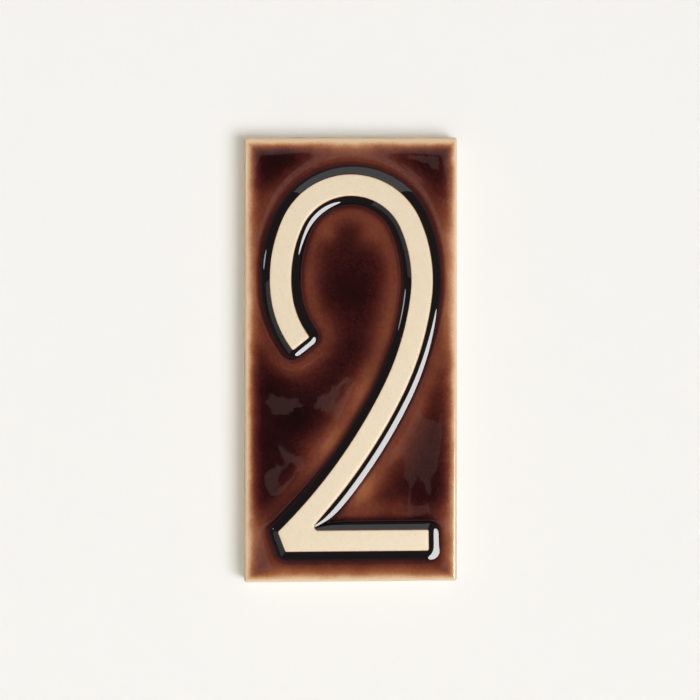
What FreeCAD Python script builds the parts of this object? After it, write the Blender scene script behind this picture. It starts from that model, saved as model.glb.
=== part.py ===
import FreeCAD, Part

import math
import os

import Sketcher
from FreeCAD import Vector

# A fired clay number tile for a house wall: a pressed slab with a raised numeral 2.
# It is one piece. It stands as it hangs: X to the right, Z up, the face towards -Y,
# the back on Y = 0, and the origin at the middle of the back.

NODE = "number_tile"

# Each size is a word, its value, and what it measures.
SIZES = [
    # The slab.
    ("tile_width", 102.0, "across the tile, mm"),
    ("head_margin", 17.9, "from the top of the tile down to the numeral, on the middle line, mm"),
    ("foot_margin", 15.0, "from the foot of the tile up to the numeral, on the middle line, mm"),
    ("slab_depth", 9.0, "from the back to the glazed ground, mm"),
    ("kiln_rake", 0.5, "fall of the foot and of the bar to the left, degrees"),
    ("rim_round", 1.3, "radius round the front of the slab and up its four corners, mm"),
    ("back_round", 0.6, "radius round the back of the slab, mm"),
    # The numeral's stroke.
    ("stroke", 10.2, "width of the flat top of the stroke, mm"),
    ("relief", 2.3, "height of the numeral above the ground, mm"),
    ("foot_spread", 0.7, "how far the root of its walls stands outside the top, mm"),
    ("root_depth", 0.5, "depth of that root below the ground, mm"),
    # The arcs of the stroke's middle line. Each start is an angle about the centre of an arc.
    ("bow_rise", 144.2, "centre of the bow above the numeral's foot, mm"),
    ("bow_radius", 30.8, "middle line of the bow, mm"),
    ("arm_start", 155.8, "where the left arm leaves the bow, degrees"),
    ("arm_radius", 64.8, "middle line of the left arm, mm"),
    ("hook_start", 187.9, "where the arm tightens, degrees"),
    ("hook_radius", 46.8, "middle line of the arm's tighter end, mm"),
    ("flank_start", 23.8, "where the right flank leaves the bow, degrees"),
    ("flank_radius", 67.2, "middle line of the right flank, mm"),
    ("sweep_start", -7.5, "where the sweep leaves the flank, degrees"),
    ("sweep_radius", 141.8, "middle line of the upper sweep, mm"),
    ("tail_start", -26.4, "where the lower sweep begins, degrees"),
    ("tail_reach", 37.34, "from the tile's middle line to where the lower sweep meets the foot, mm"),
    # The straight ends of the stroke and its foot bar.
    ("hook_reach", 20.05, "from the bow's centre to the arm's cut end, square to it, mm"),
    ("hook_slope", 38.9, "slope of the arm's cut end, degrees"),
    ("bar_width", 10.0, "height of the foot bar, mm"),
    ("bar_reach", 36.3, "from the origin to the bar's right end, square to it, mm"),
    ("cut_inset", 5.45, "from the foot of the lower sweep in to the left cut, square to it, mm"),
    ("cut_slope", 69.0, "steepness of the left cut, degrees"),
    # The roundings of the numeral.
    ("notch_round", 1.9, "radius in the acute corner over the bar, mm"),
    ("numeral_round", 0.8, "radius of the numeral's other corners, mm"),
    ("crest_round", 0.3, "radius round the top of the numeral, mm"),
    ("foot_cove", 1.2, "radius of the glaze at the numeral's foot, mm"),
    # The keying grooves pressed into the back.
    ("groove_count", 6, "grooves, an even number so that the middle is flat"),
    ("groove_pitch", 14.0, "from groove to groove, mm"),
    ("groove_width", 6.0, "width of a groove, mm"),
    ("groove_depth", 1.0, "depth of a groove, mm"),
    ("groove_margin", 14.0, "plain back above and below the grooves, mm"),
    ("groove_round", 0.5, "radius along the bottom of a groove, mm"),
]

# How a sketch counts the two ends of a line or arc and its centre, and its own two axes.
START, END, CENTRE = range(1, 4)
X_AXIS, Z_AXIS = -1, -2

# Distances and changes of volume below this are nothing.
TOUCH = 0.01

# How far in from a corner a point on its side is picked, as a share of the side.
INWARD = 0.2

# Half of the tile's height on its middle line, and the depth of the numeral's foot below the origin.
HALF_HEIGHT = (
    "(Sizes.foot_margin + Sizes.bow_rise + Sizes.bow_radius + Sizes.stroke / 2 + Sizes.head_margin) / 2"
)
FOOT_DROP = HALF_HEIGHT + " - Sizes.foot_margin"

doc = FreeCAD.newDocument("HouseNumber")
sheet = doc.addObject("Spreadsheet::Sheet", "Sizes")
for row, (word, value, note) in enumerate(SIZES, start=1):
    sheet.set("A%d" % row, note)
    sheet.set("B%d" % row, str(value))
    sheet.setAlias("B%d" % row, word)
doc.recompute()


def mm(word):
    """Read a size from the sheet."""
    return float(sheet.get(word))


def worth(expression):
    """Work out an expression on the sheet's sizes."""
    return float(sheet.evalExpression(expression))


def heading(degrees):
    """Return a step of one millimetre in a direction."""
    turn = math.radians(degrees)
    return Vector(math.cos(turn), math.sin(turn), 0)


def angle_of(centre, point):
    """Return the angle, in degrees, at which a point lies about a centre."""
    return math.degrees(math.atan2(point.y - centre.y, point.x - centre.x))


def straight_edge(origin, outward, reach):
    """Return a straight edge, from the way that it faces, as a point on it and its direction."""
    return origin + heading(outward) * reach, heading(outward + 90)


def edges_meet(one, other):
    """Return the corner of two straight edges."""
    (point, along), (other_point, other_along) = one, other
    gap = other_point - point
    run = gap.cross(other_along).z / along.cross(other_along).z
    return point + along * run


def edge_meets_arc(edge, centre, radius, way):
    """Return the corner of a straight edge and an arc, ahead (1) or behind (-1) along the edge."""
    point, along = edge
    foot = point + along * along.dot(centre - point)
    return foot + along * way * math.sqrt(radius**2 - (foot - centre).Length ** 2)


def new_sketch(body, name):
    """Start a sketch on the body's own wall plane, X to the right and Z up."""
    plane = [item for item in body.Origin.OriginFeatures if item.Role == "XZ_Plane"][0]
    sketch = body.newObject("Sketcher::SketchObject", name)
    sketch.AttachmentSupport = [(plane, "")]
    sketch.MapMode = "FlatFace"
    return sketch


def join(sketch, *ends):
    """Hold two ends together."""
    sketch.addConstraint(Sketcher.Constraint("Coincident", *ends))


def bind(sketch, name, expression, kind, *where):
    """Add a named constraint whose value follows the sheet."""
    value = worth(expression)
    if kind == "Angle":
        value = math.radians(value)
    index = sketch.addConstraint(Sketcher.Constraint(kind, *where, value))
    sketch.renameConstraint(index, name)
    sketch.setExpression("Constraints." + name, expression)


def settle(feature):
    """Stop when a feature has failed, or has changed nothing."""
    doc.recompute()
    if feature.Shape.isNull() or not feature.Shape.isValid():
        raise RuntimeError(feature.Name + " has no sound solid")
    before = feature.BaseFeature.Shape.Volume if feature.BaseFeature else 0
    if abs(feature.Shape.Volume - before) < TOUCH:
        raise RuntimeError(feature.Name + " changes nothing")


def round_edges(body, name, wanted, expression):
    """Round the edges of the last feature that pass a test."""
    base = body.Tip
    names = ["Edge%d" % n for n, edge in enumerate(base.Shape.Edges, start=1) if wanted(edge)]
    fillet = body.newObject("PartDesign::Fillet", name)
    fillet.Base = (base, names)
    fillet.setExpression("Radius", expression)
    settle(fillet)


def spans_depths(edge, front, back):
    """Tell whether an edge reaches from one depth in front of the wall to another."""
    box = edge.BoundBox
    return abs(box.YMin + front) < TOUCH and abs(box.YMax + back) < TOUCH


def make_slab(body):
    """Press the slab: square at its top, its foot falling a little to the left."""
    half_width = mm("tile_width") / 2
    half_height = worth(HALF_HEIGHT)
    fall = half_width * math.tan(math.radians(mm("kiln_rake")))
    left_foot = Vector(-half_width, -half_height - fall, 0)
    right_foot = Vector(half_width, -half_height + fall, 0)
    right_top = Vector(half_width, half_height, 0)
    left_top = Vector(-half_width, half_height, 0)

    sketch = new_sketch(body, "SlabOutline")
    corners = [left_foot, right_foot, right_top, left_top]
    sides = []
    for start, end in zip(corners, corners[1:] + corners[:1]):
        sides.append(sketch.addGeometry(Part.LineSegment(start, end)))
    for side, following in zip(sides, sides[1:] + sides[:1]):
        join(sketch, side, END, following, START)
    foot, right, top, left = sides
    sketch.addConstraint(Sketcher.Constraint("Vertical", right))
    sketch.addConstraint(Sketcher.Constraint("Vertical", left))
    sketch.addConstraint(Sketcher.Constraint("Symmetric", top, START, top, END, Z_AXIS))
    middle = sketch.addGeometry(Part.Point(Vector(0, -half_height, 0)))
    sketch.setConstruction(middle, True)
    sketch.addConstraint(Sketcher.Constraint("PointOnObject", middle, START, foot))
    sketch.addConstraint(Sketcher.Constraint("PointOnObject", middle, START, Z_AXIS))
    bind(sketch, "Width", "Sizes.tile_width", "DistanceX", top, END, top, START)
    bind(sketch, "Top", HALF_HEIGHT, "DistanceY", X_AXIS, START, top, START)
    bind(sketch, "Foot", HALF_HEIGHT, "DistanceY", middle, START, X_AXIS, START)
    bind(sketch, "Rake", "Sizes.kiln_rake", "Angle", foot)

    slab = body.newObject("PartDesign::Pad", "Slab")
    slab.Profile = sketch
    slab.setExpression("Length", "Sizes.slab_depth")
    settle(slab)
    ground = mm("slab_depth")

    def at_rim_or_corner(edge):
        """Tell whether an edge runs round the front of the slab or up one of its corners."""
        return spans_depths(edge, ground, ground) or spans_depths(edge, ground, 0)

    round_edges(body, "SlabRim", at_rim_or_corner, "Sizes.rim_round")
    round_edges(body, "SlabBack", lambda edge: spans_depths(edge, 0, 0), "Sizes.back_round")


def tail_foot():
    """Return the point where the middle line of the lower sweep comes down to the numeral's foot."""
    return Vector(-mm("tail_reach"), -worth(FOOT_DROP), 0)


def stroke_arcs():
    """Work out the centre and radius of each arc of the stroke's middle line, from the arm's end."""
    radii = {word: mm(word + "_radius") for word in ("hook", "arm", "bow", "flank", "sweep")}
    bow = Vector(0, mm("bow_rise") - worth(FOOT_DROP), 0)
    arm = bow + heading(mm("arm_start")) * (radii["bow"] - radii["arm"])
    hook = arm + heading(mm("hook_start")) * (radii["arm"] - radii["hook"])
    flank = bow + heading(mm("flank_start")) * (radii["bow"] - radii["flank"])
    sweep = flank + heading(mm("sweep_start")) * (radii["flank"] - radii["sweep"])

    # The last arc leaves the sweep along its tangent and comes down to the tail's foot.
    inwards = -heading(mm("tail_start"))
    gap = tail_foot() - (sweep - inwards * radii["sweep"])
    radii["tail"] = gap.dot(gap) / (2 * gap.dot(inwards))
    tail = sweep + inwards * (radii["tail"] - radii["sweep"])
    centres = {"hook": hook, "arm": arm, "bow": bow, "flank": flank, "sweep": sweep, "tail": tail}
    return {word: (centre, radii[word]) for word, centre in centres.items()}


def numeral_corners(grow):
    """Work out the corners of the numeral's outline, grown outwards by a distance."""
    arcs = stroke_arcs()
    hook_centre, hook_radius = arcs["hook"]
    tail_centre, tail_radius = arcs["tail"]
    origin = Vector(0, 0, 0)
    half = mm("stroke") / 2 + grow
    rake = mm("kiln_rake")
    drop = worth(FOOT_DROP)
    foot = straight_edge(origin, rake - 90, drop + grow)
    shelf = straight_edge(origin, rake - 90, drop - mm("bar_width") - grow)
    end = straight_edge(origin, rake, mm("bar_reach") + grow)
    cut = straight_edge(tail_foot(), 270 - mm("cut_slope"), grow - mm("cut_inset"))
    hook = straight_edge(arcs["bow"][0], mm("hook_slope") - 90, mm("hook_reach") + grow)
    return {
        "hook_low": edge_meets_arc(hook, hook_centre, hook_radius + half, -1),
        "hook_high": edge_meets_arc(hook, hook_centre, hook_radius - half, -1),
        "notch": edge_meets_arc(shelf, tail_centre, tail_radius + half, 1),
        "bar_high": edges_meet(shelf, end),
        "bar_low": edges_meet(foot, end),
        "cut_low": edges_meet(foot, cut),
        "cut_high": edge_meets_arc(cut, tail_centre, tail_radius - half, 1),
    }


def arc_chain(sketch, offset, first, last):
    """Draw one side of the stroke as tangent arcs and return their numbers in the sketch."""
    arcs = stroke_arcs()
    joints = [mm(word) for word in ("hook_start", "arm_start", "flank_start", "sweep_start", "tail_start")]
    hook_end = angle_of(arcs["hook"][0], first) % 360
    tail_end = angle_of(arcs["tail"][0], last)
    chain = []
    for (centre, radius), start, end in zip(arcs.values(), joints + [tail_end], [hook_end] + joints):
        circle = Part.Circle(centre, Vector(0, 0, 1), radius + offset)
        arc = Part.ArcOfCircle(circle, math.radians(start), math.radians(end))
        chain.append(sketch.addGeometry(arc))
    for arc, following in zip(chain, chain[1:]):
        sketch.addConstraint(Sketcher.Constraint("Tangent", arc, START, following, END))
    return chain


def inward(side, tip):
    """Return a point on a side of the outline, a little way in from its corner."""
    first, last = side.FirstParameter, side.LastParameter
    near, far = (first, last) if (side.value(first) - tip).Length < TOUCH else (last, first)
    return side.value(near + (far - near) * INWARD)


def numeral_sketch(body, name, depth, spread=None):
    """Draw the numeral at a depth: two chains of arcs, a bar, and three straight ends.

    A spread names the size by which this outline stands outside the numeral's top.
    """
    sketch = new_sketch(body, name)
    sketch.setExpression(".AttachmentOffset.Base.z", depth)
    grow = mm(spread) if spread else 0
    out = " + Sizes." + spread if spread else ""
    back = " - Sizes." + spread if spread else ""
    arcs = stroke_arcs()
    corner = numeral_corners(grow)
    half = mm("stroke") / 2 + grow

    outer = arc_chain(sketch, half, corner["hook_low"], corner["notch"])
    inner = arc_chain(sketch, -half, corner["hook_high"], corner["cut_high"])
    for outside, inside in zip(outer, inner):
        join(sketch, outside, CENTRE, inside, CENTRE)
    hook_end = sketch.addGeometry(Part.LineSegment(corner["hook_low"], corner["hook_high"]))
    shelf = sketch.addGeometry(Part.LineSegment(corner["notch"], corner["bar_high"]))
    bar_end = sketch.addGeometry(Part.LineSegment(corner["bar_high"], corner["bar_low"]))
    foot = sketch.addGeometry(Part.LineSegment(corner["cut_low"], corner["bar_low"]))
    cut = sketch.addGeometry(Part.LineSegment(corner["cut_low"], corner["cut_high"]))
    join(sketch, hook_end, START, outer[0], END)
    join(sketch, hook_end, END, inner[0], END)
    join(sketch, shelf, START, outer[-1], START)
    join(sketch, shelf, END, bar_end, START)
    join(sketch, bar_end, END, foot, END)
    join(sketch, foot, START, cut, START)
    join(sketch, cut, END, inner[-1], START)
    sketch.addConstraint(Sketcher.Constraint("Parallel", shelf, foot))
    sketch.addConstraint(Sketcher.Constraint("Perpendicular", bar_end, foot))

    # The bow's place, the radii, and the stroke between the two sides.
    hook, arm, bow, flank, sweep, tail = outer
    sketch.addConstraint(Sketcher.Constraint("PointOnObject", bow, CENTRE, Z_AXIS))
    bind(sketch, "BowRise", "Sizes.bow_rise - (%s)" % FOOT_DROP, "DistanceY", X_AXIS, START, bow, CENTRE)
    for word, arc in zip(arcs, outer[:-1]):
        name = word.title() + "Radius"
        bind(sketch, name, "Sizes.%s_radius + Sizes.stroke / 2%s" % (word, out), "Radius", arc)
    bind(sketch, "BowInside", "Sizes.bow_radius - Sizes.stroke / 2" + back, "Radius", inner[2])

    # A spoke from an arc's centre holds the angle at which that arc meets the next one.
    spokes = (
        ("hook_start", arm, END, "arm"),
        ("arm_start", bow, END, "bow"),
        ("flank_start", bow, START, "bow"),
        ("sweep_start", flank, START, "flank"),
        ("tail_start", sweep, START, "sweep"),
    )
    for word, arc, tip, about in spokes:
        centre, radius = arcs[about]
        spoke = sketch.addGeometry(Part.LineSegment(centre, centre + heading(mm(word)) * (radius + half)))
        sketch.setConstruction(spoke, True)
        join(sketch, spoke, START, arc, CENTRE)
        join(sketch, spoke, END, arc, tip)
        bind(sketch, word.title().replace("_", ""), "Sizes." + word, "Angle", spoke)

    # The last arc's middle line comes down to the tail's foot, half a stroke inside its outer side.
    centre = arcs["tail"][0]
    outwards = (tail_foot() - centre).normalize()
    pin = sketch.addGeometry(Part.LineSegment(tail_foot(), tail_foot() + outwards * half))
    sketch.setConstruction(pin, True)
    sketch.addConstraint(Sketcher.Constraint("PointOnObject", tail, CENTRE, pin))
    sketch.addConstraint(Sketcher.Constraint("PointOnObject", pin, END, tail))
    bind(sketch, "TailReach", "Sizes.tail_reach", "DistanceX", pin, START, X_AXIS, START)
    bind(sketch, "TailFoot", FOOT_DROP, "DistanceY", pin, START, X_AXIS, START)
    bind(sketch, "TailSide", "Sizes.stroke / 2" + out, "Distance", pin)

    # The straight edges, each by its slope and by its distance square to itself.
    origin = (X_AXIS, START)
    bind(sketch, "HookSlope", "Sizes.hook_slope", "Angle", hook_end)
    bind(sketch, "HookReach", "Sizes.hook_reach" + out, "Distance", bow, CENTRE, hook_end)
    bind(sketch, "BarRake", "Sizes.kiln_rake", "Angle", foot)
    bind(sketch, "BarReach", "Sizes.bar_reach" + out, "Distance", *origin, bar_end)
    bind(sketch, "BarFoot", FOOT_DROP + out, "Distance", *origin, foot)
    bind(sketch, "BarShelf", FOOT_DROP + " - Sizes.bar_width" + back, "Distance", *origin, shelf)
    bind(sketch, "CutSlope", "180 - Sizes.cut_slope", "Angle", cut)
    bind(sketch, "CutInset", "Sizes.cut_inset" + back, "Distance", pin, START, cut)

    # The corners. Grown outwards, a corner that juts out gets blunter and the notch gets tighter.
    blunt = "Sizes.numeral_round" + out
    turns = (
        ("HookLow", hook_end, outer[0], corner["hook_low"], blunt),
        ("HookHigh", hook_end, inner[0], corner["hook_high"], blunt),
        ("Notch", shelf, outer[-1], corner["notch"], "Sizes.notch_round" + back),
        ("BarHigh", shelf, bar_end, corner["bar_high"], blunt),
        ("BarLow", bar_end, foot, corner["bar_low"], blunt),
        ("CutLow", foot, cut, corner["cut_low"], blunt),
        ("CutHigh", cut, inner[-1], corner["cut_high"], blunt),
    )
    for word, one, other, tip, radius in turns:
        near = [inward(sketch.Geometry[side], tip) for side in (one, other)]
        sketch.fillet(one, other, near[0], near[1], worth(radius), True)
        bind(sketch, word + "Round", radius, "Radius", sketch.GeometryCount - 1)
    return sketch


def make_numeral(body):
    """Raise the numeral: leaning walls from a wider root up to the flat top, then its roundings."""
    ground = mm("slab_depth")
    crest = ground + mm("relief")
    numeral = body.newObject("PartDesign::AdditiveLoft", "Numeral")
    numeral.Profile = numeral_sketch(body, "NumeralRoot", "Sizes.slab_depth - Sizes.root_depth", "foot_spread")
    numeral.Sections = [numeral_sketch(body, "NumeralTop", "Sizes.slab_depth + Sizes.relief")]
    numeral.Ruled = True
    settle(numeral)

    round_edges(body, "NumeralCrest", lambda edge: spans_depths(edge, crest, crest), "Sizes.crest_round")

    rim = mm("tile_width") / 2 - mm("rim_round") - TOUCH

    def at_foot(edge):
        """Tell whether an edge runs round the numeral's foot, and not round the slab's rim."""
        box = edge.BoundBox
        return spans_depths(edge, ground, ground) and max(-box.XMin, box.XMax) < rim

    round_edges(body, "NumeralFoot", at_foot, "Sizes.foot_cove")


def make_grooves(body):
    """Press the keying grooves into the back."""
    half_width = mm("groove_width") / 2
    reach = HALF_HEIGHT + " - Sizes.groove_margin"
    half_length = worth(reach)
    first = -mm("groove_pitch") * (mm("groove_count") - 1) / 2
    sketch = new_sketch(body, "GrooveOutline")
    corners = [
        Vector(first - half_width, -half_length, 0),
        Vector(first + half_width, -half_length, 0),
        Vector(first + half_width, half_length, 0),
        Vector(first - half_width, half_length, 0),
    ]
    sides = []
    for start, end in zip(corners, corners[1:] + corners[:1]):
        sides.append(sketch.addGeometry(Part.LineSegment(start, end)))
    for side, following in zip(sides, sides[1:] + sides[:1]):
        join(sketch, side, END, following, START)
    foot, right, top, left = sides
    for side in (foot, top):
        sketch.addConstraint(Sketcher.Constraint("Horizontal", side))
    for side in (right, left):
        sketch.addConstraint(Sketcher.Constraint("Vertical", side))
    bind(sketch, "Width", "Sizes.groove_width", "DistanceX", foot, START, foot, END)
    bind(sketch, "Top", reach, "DistanceY", X_AXIS, START, top, START)
    bind(sketch, "Foot", reach, "DistanceY", foot, START, X_AXIS, START)
    span = "Sizes.groove_pitch * (Sizes.groove_count - 1)"
    bind(sketch, "First", span + " / 2 + Sizes.groove_width / 2", "DistanceX", foot, START, X_AXIS, START)

    groove = body.newObject("PartDesign::Pocket", "Groove")
    groove.Profile = sketch
    groove.Reversed = True
    groove.setExpression("Length", "Sizes.groove_depth")
    settle(groove)
    pattern = body.newObject("PartDesign::LinearPattern", "Grooves")
    pattern.Originals = [groove]
    pattern.Direction = (sketch, ["H_Axis"])
    pattern.setExpression("Length", span)
    pattern.setExpression("Occurrences", "Sizes.groove_count")
    body.Tip = pattern
    settle(pattern)
    depth = mm("groove_depth")
    round_edges(body, "GrooveBottoms", lambda edge: spans_depths(edge, depth, depth), "Sizes.groove_round")


tile = doc.addObject("PartDesign::Body", NODE)
tile.Label = NODE
make_slab(tile)
make_numeral(tile)
make_grooves(tile)
doc.recompute()

for item in doc.Objects:
    if "Invalid" in item.State or "Error" in item.State:
        raise RuntimeError(item.Name + " failed")
shape = tile.Shape
if shape.isNull() or not shape.isValid() or len(shape.Solids) != 1:
    raise RuntimeError("the tile is not one sound solid")
os.makedirs("parts", exist_ok=True)
shape.exportStep("parts/%s.step" % NODE)
print(NODE, "volume %.1f cm3" % (shape.Volume / 1000), shape.BoundBox)
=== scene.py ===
# %% [markdown]
# # A glazed house number
#
# The object is one clay tile, pressed in a mould with a raised numeral 2 on it, glazed and fired.
# The glaze is a translucent brown. It runs thin over the rim, so the cream clay shows through there,
# and it pools against the numeral, where it looks black. The numeral's flat face was wiped bare.
#
# The lesson builds that tile as one closed mesh: a box with rounded edges, a numeral swept round its
# outline, and a ground that joins the two. The glaze's surface is then a height over every point,
# and its colour is a depth at every point.

import math

import bmesh
import bpy
import numpy
from mathutils import Matrix, Vector


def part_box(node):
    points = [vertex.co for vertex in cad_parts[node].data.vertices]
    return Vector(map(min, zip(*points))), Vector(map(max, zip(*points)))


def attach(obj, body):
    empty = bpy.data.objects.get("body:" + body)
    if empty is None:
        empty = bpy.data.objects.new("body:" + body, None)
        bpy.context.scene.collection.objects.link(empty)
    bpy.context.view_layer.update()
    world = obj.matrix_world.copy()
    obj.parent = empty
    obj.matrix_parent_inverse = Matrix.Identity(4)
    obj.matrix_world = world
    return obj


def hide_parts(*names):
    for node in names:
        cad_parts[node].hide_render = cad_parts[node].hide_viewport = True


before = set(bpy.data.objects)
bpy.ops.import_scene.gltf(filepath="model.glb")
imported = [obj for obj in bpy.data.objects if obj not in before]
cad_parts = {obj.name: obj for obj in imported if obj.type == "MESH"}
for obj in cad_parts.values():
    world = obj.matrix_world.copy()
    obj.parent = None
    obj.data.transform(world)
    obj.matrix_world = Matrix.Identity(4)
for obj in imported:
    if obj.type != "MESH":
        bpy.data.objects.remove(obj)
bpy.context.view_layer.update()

# %% [markdown]
# ## Sizes
#
# A modeller settles the driving sizes before touching a mesh. The overall sizes are read from the
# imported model, so the visible tile can't drift from it. The sizes of the stroke are the numeral's
# own: six arcs for its middle line, and straight cuts at its ends. Everything is in millimetres
# until the mesh is done, because that is how a potter would measure it.

# %% The tile's sizes
MM = 0.001
RELIEF = 2.3
KILN_RAKE = 0.5

tile_low, tile_high = (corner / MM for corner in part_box("number_tile"))
HALF_WIDTH = (tile_high.x - tile_low.x) / 2
HALF_HEIGHT = tile_high.z
SLAB_DEPTH = -tile_low.y - RELIEF
print("Tile: %.1f wide, %.1f high, slab %.1f deep" % (2 * HALF_WIDTH, 2 * HALF_HEIGHT, SLAB_DEPTH))

# %% The numeral's sizes
HEAD_MARGIN = 17.9
FOOT_MARGIN = 15.0
STROKE = 10.2
BAR_WIDTH = 10.0
BAR_REACH = 36.3
TAIL_REACH = 37.34
CUT_INSET = 5.45
CUT_SLOPE = 69.0
HOOK_REACH = 20.05
HOOK_SLOPE = 38.9
CORNER_ROUND = 0.8
NOTCH_ROUND = 1.9
RADII = {"hook": 46.8, "arm": 64.8, "bow": 30.8, "flank": 67.2, "sweep": 141.8}
# The angle about its own centre at which each arc meets the one before it.
STARTS = {"arm": 187.9, "bow": 155.8, "flank": 23.8, "sweep": -7.5, "tail": -26.4}

FOOT_DROP = HALF_HEIGHT - FOOT_MARGIN
BOW_HEIGHT = HALF_HEIGHT - HEAD_MARGIN - RADII["bow"] - STROKE / 2

# %% [markdown]
# ## The numeral's middle line
#
# A drawn curve like this one is a chain of arcs, each tangent to the next. Two arcs are tangent when
# their centres and the point where they meet lie on one line. So each centre is found by stepping
# from the last one along the angle of the joint, by the difference of the two radii.

# %% Work out the centres of the arcs
def heading(degrees):
    """Return a step of one millimetre across the wall, at an angle from the right."""
    turn = math.radians(degrees)
    return Vector((math.cos(turn), 0, math.sin(turn)))


def angle_of(centre, point):
    """Return the angle at which a point lies about a centre."""
    gap = point - centre
    return math.degrees(math.atan2(gap.z, gap.x))


CENTRES = {"bow": Vector((0, 0, BOW_HEIGHT))}
# Each arc, the arc that it joins, and the one of them that starts at their joint.
JOINTS = (
    ("arm", "bow", "bow"), ("hook", "arm", "arm"), ("flank", "bow", "flank"), ("sweep", "flank", "sweep"),
)
for name, last, starting in JOINTS:
    CENTRES[name] = CENTRES[last] + heading(STARTS[starting]) * (RADII[last] - RADII[name])

# The last arc starts along the sweep's end and comes down to the numeral's foot.
tail_foot = Vector((-TAIL_REACH, 0, -FOOT_DROP))
inwards = -heading(STARTS["tail"])
gap = tail_foot - (CENTRES["sweep"] - inwards * RADII["sweep"])
RADII["tail"] = gap.dot(gap) / (2 * gap.dot(inwards))
CENTRES["tail"] = CENTRES["sweep"] + inwards * (RADII["tail"] - RADII["sweep"])
print("Radius of the lower sweep: %.1f mm" % RADII["tail"])

# %% [markdown]
# ## The corners
#
# A corner's rounding has its centre where the two sides would meet if the outline were shrunk by the
# rounding's radius. So one function that gives the corners of a grown or shrunk outline gives the
# centres of the roundings too, and later the mitre of the acute notch over the bar.

# %% Work out the corners of a grown outline
def straight_edge(origin, outward, reach):
    """Return a straight edge, from the way that it faces, as a point on it and its direction."""
    return origin + heading(outward) * reach, heading(outward + 90)


def edges_meet(one, other):
    """Return the corner of two straight edges."""
    (point, along), (other_point, other_along) = one, other
    reach = (other_point - point).cross(other_along).y / along.cross(other_along).y
    return point + along * reach


def edge_meets_arc(edge, name, offset, way):
    """Return the corner of an edge and an arc, ahead (1) or behind (-1) along the edge."""
    point, along = edge
    foot = point + along * along.dot(CENTRES[name] - point)
    radius = RADII[name] + offset
    return foot + along * way * math.sqrt(radius**2 - (foot - CENTRES[name]).length_squared)


def numeral_corners(grow):
    """Return the corners of the numeral's outline, grown outwards by a distance."""
    origin = Vector((0, 0, 0))
    half = STROKE / 2 + grow
    foot = straight_edge(origin, KILN_RAKE - 90, FOOT_DROP + grow)
    shelf = straight_edge(origin, KILN_RAKE - 90, FOOT_DROP - BAR_WIDTH - grow)
    end = straight_edge(origin, KILN_RAKE, BAR_REACH + grow)
    cut = straight_edge(tail_foot, 270 - CUT_SLOPE, grow - CUT_INSET)
    hook = straight_edge(CENTRES["bow"], HOOK_SLOPE - 90, HOOK_REACH + grow)
    return {
        "hook_low": edge_meets_arc(hook, "hook", half, -1),
        "hook_high": edge_meets_arc(hook, "hook", -half, -1),
        "notch": edge_meets_arc(shelf, "tail", half, 1),
        "bar_high": edges_meet(shelf, end),
        "bar_low": edges_meet(foot, end),
        "cut_low": edges_meet(foot, cut),
        "cut_high": edge_meets_arc(cut, "tail", -half, 1),
    }


PIVOTS = numeral_corners(-CORNER_ROUND)
NOTCH_PIVOT = numeral_corners(NOTCH_ROUND)["notch"]

# %% [markdown]
# ## Sweeping the wall of the numeral
#
# The glaze climbs the numeral's wall in a smooth curve, and that curve is what catches the light, so
# its mesh has to run exactly along the outline. A row of points, square to the outline, is carried
# round it: about an arc's centre for a curve, about a pivot for a corner, and straight on for an
# edge. Spin does all three, because it can turn and move at once. Every ring of the mesh is then an
# offset of the outline, and no facet crosses a highlight.

# %% Carry a row of points round the outline
TOUCH = 0.01
PITCH = 0.7
CORNER_STEPS = 14
FACE_RINGS = 6
FACE_REACH = 0.78
WALL_RINGS = 9
# The rings crowd towards the numeral, where the glaze is steep.
WALL_CROWDING = 1.3
POOL_RINGS = 14
POOL_REACH = 6.6

offsets = [FACE_REACH * (ring / FACE_RINGS - 1) for ring in range(FACE_RINGS)]
offsets += [NOTCH_ROUND * (ring / WALL_RINGS) ** WALL_CROWDING for ring in range(WALL_RINGS)]
offsets += [NOTCH_ROUND + (POOL_REACH - NOTCH_ROUND) * ring / POOL_RINGS for ring in range(POOL_RINGS + 1)]

tile = bmesh.new()
ground = Vector((0, -SLAB_DEPTH, 0))
legs = []


def start_row(point, outward, steps=offsets):
    """Lay a row of points across the outline and return its points and edges."""
    points = [tile.verts.new(ground + point + heading(outward) * offset) for offset in steps]
    return points + [tile.edges.new(pair) for pair in zip(points, points[1:])]


def turn(row, pivot, degrees, steps, move=(0, 0, 0)):
    """Carry a row round a pivot, with a move at each step if one is given, and return where it ends."""
    spun = bmesh.ops.spin(
        tile, geom=row, cent=pivot, axis=(0, -1, 0), angle=math.radians(degrees), dvec=move, steps=steps,
        use_merge=False, use_duplicate=False,
    )
    return spun["geom_last"]


def run(row, start, stop, steps=None):
    """Carry a row straight on and return where it ends."""
    steps = steps or max(1, round((stop - start).length / PITCH))
    return turn(row, start, 0, steps, (stop - start) / steps)


def round_corner(row, name, outward, facing):
    """Carry a row round a corner of the numeral, from one way of facing to another."""
    legs.append(("arc", PIVOTS[name], CORNER_ROUND, outward, facing, 1))
    return turn(row, PIVOTS[name], facing - outward, CORNER_STEPS)


def along_edge(row, start, stop, outward):
    """Carry a row along a straight edge between two pivots."""
    reach = heading(outward) * CORNER_ROUND
    legs.append(("edge", start + reach, stop + reach, outward))
    return run(row, start + reach, stop + reach)


def along_arc(row, name, begin, finish, side):
    """Carry a row along an arc, on its outer (1) or inner (-1) side."""
    radius = RADII[name] + side * STROKE / 2
    legs.append(("arc", CENTRES[name], radius, begin, finish, side))
    steps = max(1, round(math.radians(abs(finish - begin)) * radius / PITCH))
    return turn(row, CENTRES[name], finish - begin, steps)


def along_stroke(row, names, angles, side):
    """Carry a row along a chain of arcs that meet at the given angles."""
    for name, begin, finish in zip(names, angles, angles[1:]):
        row = along_arc(row, name, begin, finish, side)
    return row


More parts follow.
